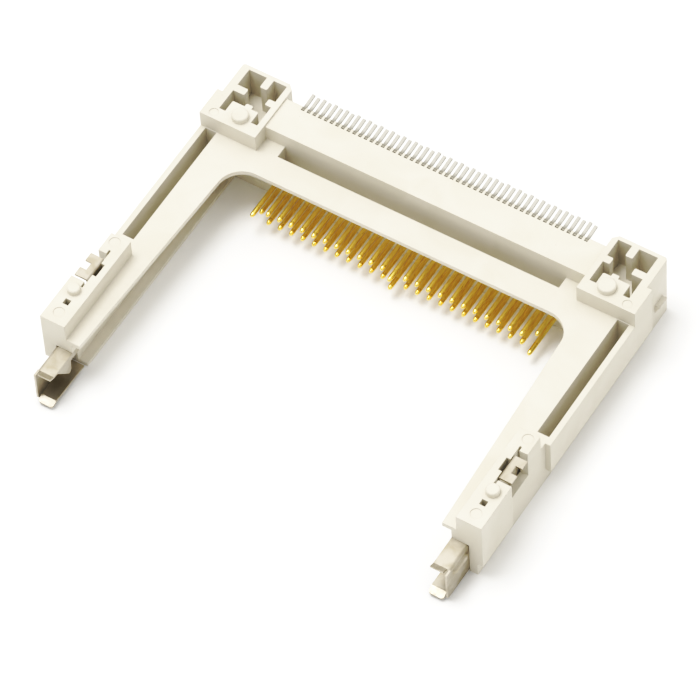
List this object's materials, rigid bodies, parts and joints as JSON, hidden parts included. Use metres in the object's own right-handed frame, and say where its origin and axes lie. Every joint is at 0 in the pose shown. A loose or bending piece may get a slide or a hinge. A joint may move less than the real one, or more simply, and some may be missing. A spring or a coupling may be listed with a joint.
{
  "type": "memory card header",
  "caption": "U-shaped board header for a 3.3 mm memory card: two rows of pins, guide arms with grooves, rod channels, board pegs and ground springs.",
  "frame": {"origin": "on the underside of the header, on the line between the two corner pegs, half way between them", "axes": "+X along the rows of pins, +Y from the card side towards the solder tails, +Z towards the board"},
  "size_m": [0.0476, 0.039, 0.0084],
  "materials": {
    "housing": "matt moulded",
    "contact": "gold plated pins with tin plated tails",
    "spring": "tin plated spring sheet"
  },
  "bodies": {
    "root": {"housing": "housing", "contact_01": "contact", "contact_02": "contact", "contact_03": "contact", "contact_04": "contact", "contact_05": "contact", "contact_06": "contact", "contact_07": "contact", "contact_08": "contact", "contact_09": "contact", "contact_10": "contact", "contact_11": "contact", "contact_12": "contact", "contact_13": "contact", "contact_14": "contact", "contact_15": "contact", "contact_16": "contact", "contact_17": "contact", "contact_18": "contact", "contact_19": "contact", "contact_20": "contact", "contact_21": "contact", "contact_22": "contact", "contact_23": "contact", "contact_24": "contact", "contact_25": "contact", "contact_26": "contact", "contact_27": "contact", "contact_28": "contact", "contact_29": "contact", "contact_30": "contact", "contact_31": "contact", "contact_32": "contact", "contact_33": "contact", "contact_34": "contact", "contact_35": "contact", "contact_36": "contact", "contact_37": "contact", "contact_38": "contact", "contact_39": "contact", "contact_40": "contact", "contact_41": "contact", "contact_42": "contact", "contact_43": "contact", "contact_44": "contact", "contact_45": "contact", "contact_46": "contact", "contact_47": "contact", "contact_48": "contact", "contact_49": "contact", "contact_50": "contact", "ground_clip_left": "spring", "ground_clip_right": "spring"}
  },
  "joints": []
}
